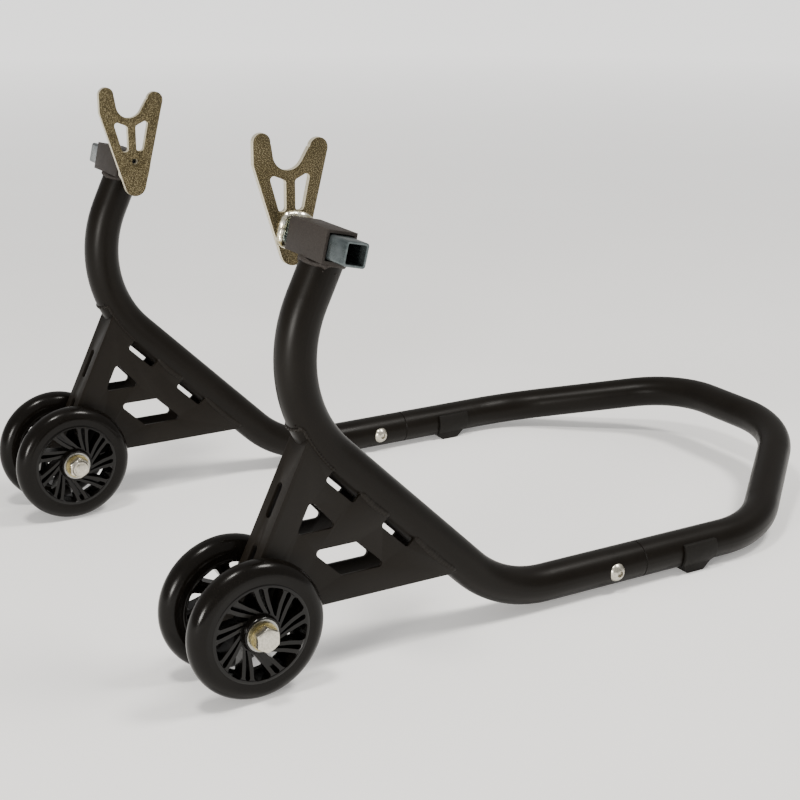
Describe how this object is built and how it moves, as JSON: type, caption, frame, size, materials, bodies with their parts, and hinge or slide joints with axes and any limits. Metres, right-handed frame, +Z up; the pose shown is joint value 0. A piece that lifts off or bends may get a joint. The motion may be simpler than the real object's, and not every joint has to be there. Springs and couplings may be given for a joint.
{
  "type": "motorcycle paddock stand",
  "caption": "Black tubular rear paddock stand: two bent arms on twin wheels, a bolted U-shaped handle, and sliding V-notched fork plates that lift a swingarm.",
  "frame": {"origin": "on the floor under the centre of the stand's outline, in its plane of symmetry", "axes": "+Z up; +Y along the stand from the wheels to the handle; +X to the right-hand arm"},
  "size_m": [0.554, 0.7994, 0.4446],
  "materials": {
    "powder_coat": "satin fine-texture black powder coat",
    "textured_paint": "matt textured black paint",
    "yellow_zinc": "yellow-passivated zinc plating, speckled",
    "bright_zinc": "bright zinc plating",
    "foot_rubber": "matt black rubber",
    "polyurethane": "glossy black cast polyurethane",
    "hub_plastic": "glossy black moulded plastic",
    "bearing_steel": "ground bearing steel"
  },
  "bodies": {
    "frame": {"arm_right": "powder_coat", "gusset_right": "powder_coat", "gusset_weld_right": "powder_coat", "socket_right": "textured_paint", "socket_weld_right": "textured_paint", "clamp_nut_right": "textured_paint", "axle_washers_right": "yellow_zinc", "axle_bolt_right": "bright_zinc", "axle_nut_right": "bright_zinc", "axle_bush_right": "bright_zinc", "joint_screws_right": "bright_zinc", "spigot_right": "bright_zinc", "spigot_bush_right": "bright_zinc", "rear_foot_right": "foot_rubber", "arm_left": "powder_coat", "gusset_left": "powder_coat", "gusset_weld_left": "powder_coat", "socket_left": "textured_paint", "socket_weld_left": "textured_paint", "clamp_nut_left": "textured_paint", "axle_washers_left": "yellow_zinc", "axle_bolt_left": "bright_zinc", "axle_nut_left": "bright_zinc", "axle_bush_left": "bright_zinc", "joint_screws_left": "bright_zinc", "spigot_left": "bright_zinc", "spigot_bush_left": "bright_zinc", "rear_foot_left": "foot_rubber", "handle_tube": "powder_coat"},
    "fork_slide_right": {"fork_plate_right": "yellow_zinc", "fork_bar_right": "bright_zinc", "fork_weld_right": "bright_zinc"},
    "clamp_screw_right": {"clamp_screw_right": "bright_zinc"},
    "wheel_outer_right": {"tyre_outer_right": "polyurethane", "hub_outer_right": "hub_plastic", "bearings_outer_right": "bearing_steel", "bearing_spacer_outer_right": "bearing_steel"},
    "wheel_inner_right": {"tyre_inner_right": "polyurethane", "hub_inner_right": "hub_plastic", "bearings_inner_right": "bearing_steel", "bearing_spacer_inner_right": "bearing_steel"},
    "fork_slide_left": {"fork_plate_left": "yellow_zinc", "fork_bar_left": "bright_zinc", "fork_weld_left": "bright_zinc"},
    "clamp_screw_left": {"clamp_screw_left": "bright_zinc"},
    "wheel_outer_left": {"tyre_outer_left": "polyurethane", "hub_outer_left": "hub_plastic", "bearings_outer_left": "bearing_steel", "bearing_spacer_outer_left": "bearing_steel"},
    "wheel_inner_left": {"tyre_inner_left": "polyurethane", "hub_inner_left": "hub_plastic", "bearings_inner_left": "bearing_steel", "bearing_spacer_inner_left": "bearing_steel"}
  },
  "joints": [
    {"name": "wheel_spin_outer_right", "type": "hinge", "parent": "frame", "child": "wheel_outer_right", "pos_m": [0.249, -0.33975, 0.06], "axis": [1, 0, 0], "continuous": true},
    {"name": "wheel_spin_inner_right", "type": "hinge", "parent": "frame", "child": "wheel_inner_right", "pos_m": [0.191, -0.33975, 0.06], "axis": [1, 0, 0], "continuous": true},
    {"name": "fork_slide_right", "type": "slide", "parent": "frame", "child": "fork_slide_right", "axis": [1, 0, 0], "range_m": [-0.045, 0.007]},
    {"name": "clamp_turn_right", "type": "hinge", "parent": "frame", "child": "clamp_screw_right", "pos_m": [0.22, -0.23488, 0.35757], "axis": [0, 0.9744, -0.225], "range_deg": [-360, 30]},
    {"name": "wheel_spin_outer_left", "type": "hinge", "parent": "frame", "child": "wheel_outer_left", "pos_m": [-0.249, -0.33975, 0.06], "axis": [1, 0, 0], "continuous": true},
    {"name": "wheel_spin_inner_left", "type": "hinge", "parent": "frame", "child": "wheel_inner_left", "pos_m": [-0.191, -0.33975, 0.06], "axis": [1, 0, 0], "continuous": true},
    {"name": "fork_slide_left", "type": "slide", "parent": "frame", "child": "fork_slide_left", "axis": [-1, 0, 0], "range_m": [-0.045, 0.007]},
    {"name": "clamp_turn_left", "type": "hinge", "parent": "frame", "child": "clamp_screw_left", "pos_m": [-0.22, -0.23488, 0.35757], "axis": [0, 0.9744, -0.225], "range_deg": [-360, 30]}
  ]
}
